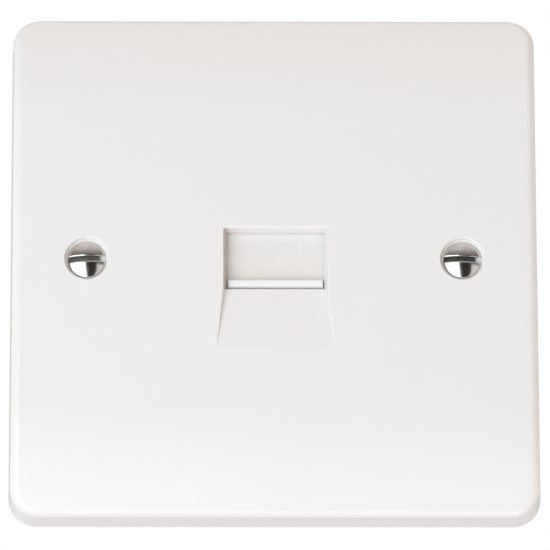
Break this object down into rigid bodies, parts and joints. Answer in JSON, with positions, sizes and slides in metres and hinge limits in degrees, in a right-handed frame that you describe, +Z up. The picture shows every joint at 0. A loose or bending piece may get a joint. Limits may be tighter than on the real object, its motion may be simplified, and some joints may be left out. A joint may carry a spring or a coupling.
{
  "type": "telephone wall socket",
  "caption": "Square flush wall outlet for a telephone plug: moulded plate with rolled top and foot, sprung shutter over a shallow ramp, sunk fixing screws and a wired module behind.",
  "frame": {"origin": "centre of the plane that lies on the wall, midway between the two fixing screws", "axes": "+Y into the wall along the fixing screws, so the front faces -Y; +X to the viewer's right; +Z up"},
  "size_m": [0.085, 0.0283, 0.085],
  "materials": {
    "plate_white": "smooth moulded urea, glossy, bright white",
    "shutter_white": "smooth moulded, satin gloss, bright white",
    "housing_white": "moulded, matt, off-white",
    "carrier_black": "moulded, matt, black",
    "terminal_white": "moulded, matt, white",
    "board": "glass-filled laminate with a green lacquer",
    "nickel": "bright nickel plate on steel",
    "zinc": "bright zinc plate",
    "spring_steel": "drawn spring wire",
    "contact_bronze": "gold-flashed spring bronze",
    "clip_tin": "tinned spring bronze"
  },
  "bodies": {
    "outlet": {"faceplate": "plate_white", "fixing_screw_left": "nickel", "fixing_screw_right": "nickel", "shutter_spring": "spring_steel", "jack_housing": "housing_white", "contact_carrier": "carrier_black", "circuit_board": "board", "terminal_block_left": "terminal_white", "terminal_block_right": "terminal_white", "module_screw_left": "zinc", "module_screw_right": "zinc", "contact_1": "contact_bronze", "contact_2": "contact_bronze", "contact_3": "contact_bronze", "contact_4": "contact_bronze", "contact_5": "contact_bronze", "contact_6": "contact_bronze", "terminal_clip_1": "clip_tin", "terminal_clip_2": "clip_tin", "terminal_clip_3": "clip_tin", "terminal_clip_4": "clip_tin", "terminal_clip_5": "clip_tin", "terminal_clip_6": "clip_tin"},
    "shutter": {"shutter": "shutter_white"}
  },
  "joints": [
    {"name": "shutter_slide", "type": "slide", "parent": "outlet", "child": "shutter", "axis": [0, 0, 1], "range_m": [0, 0.008], "stiffness_N_per_m": 60, "springref_m": -0.004, "deforming": ["shutter_spring"]}
  ]
}
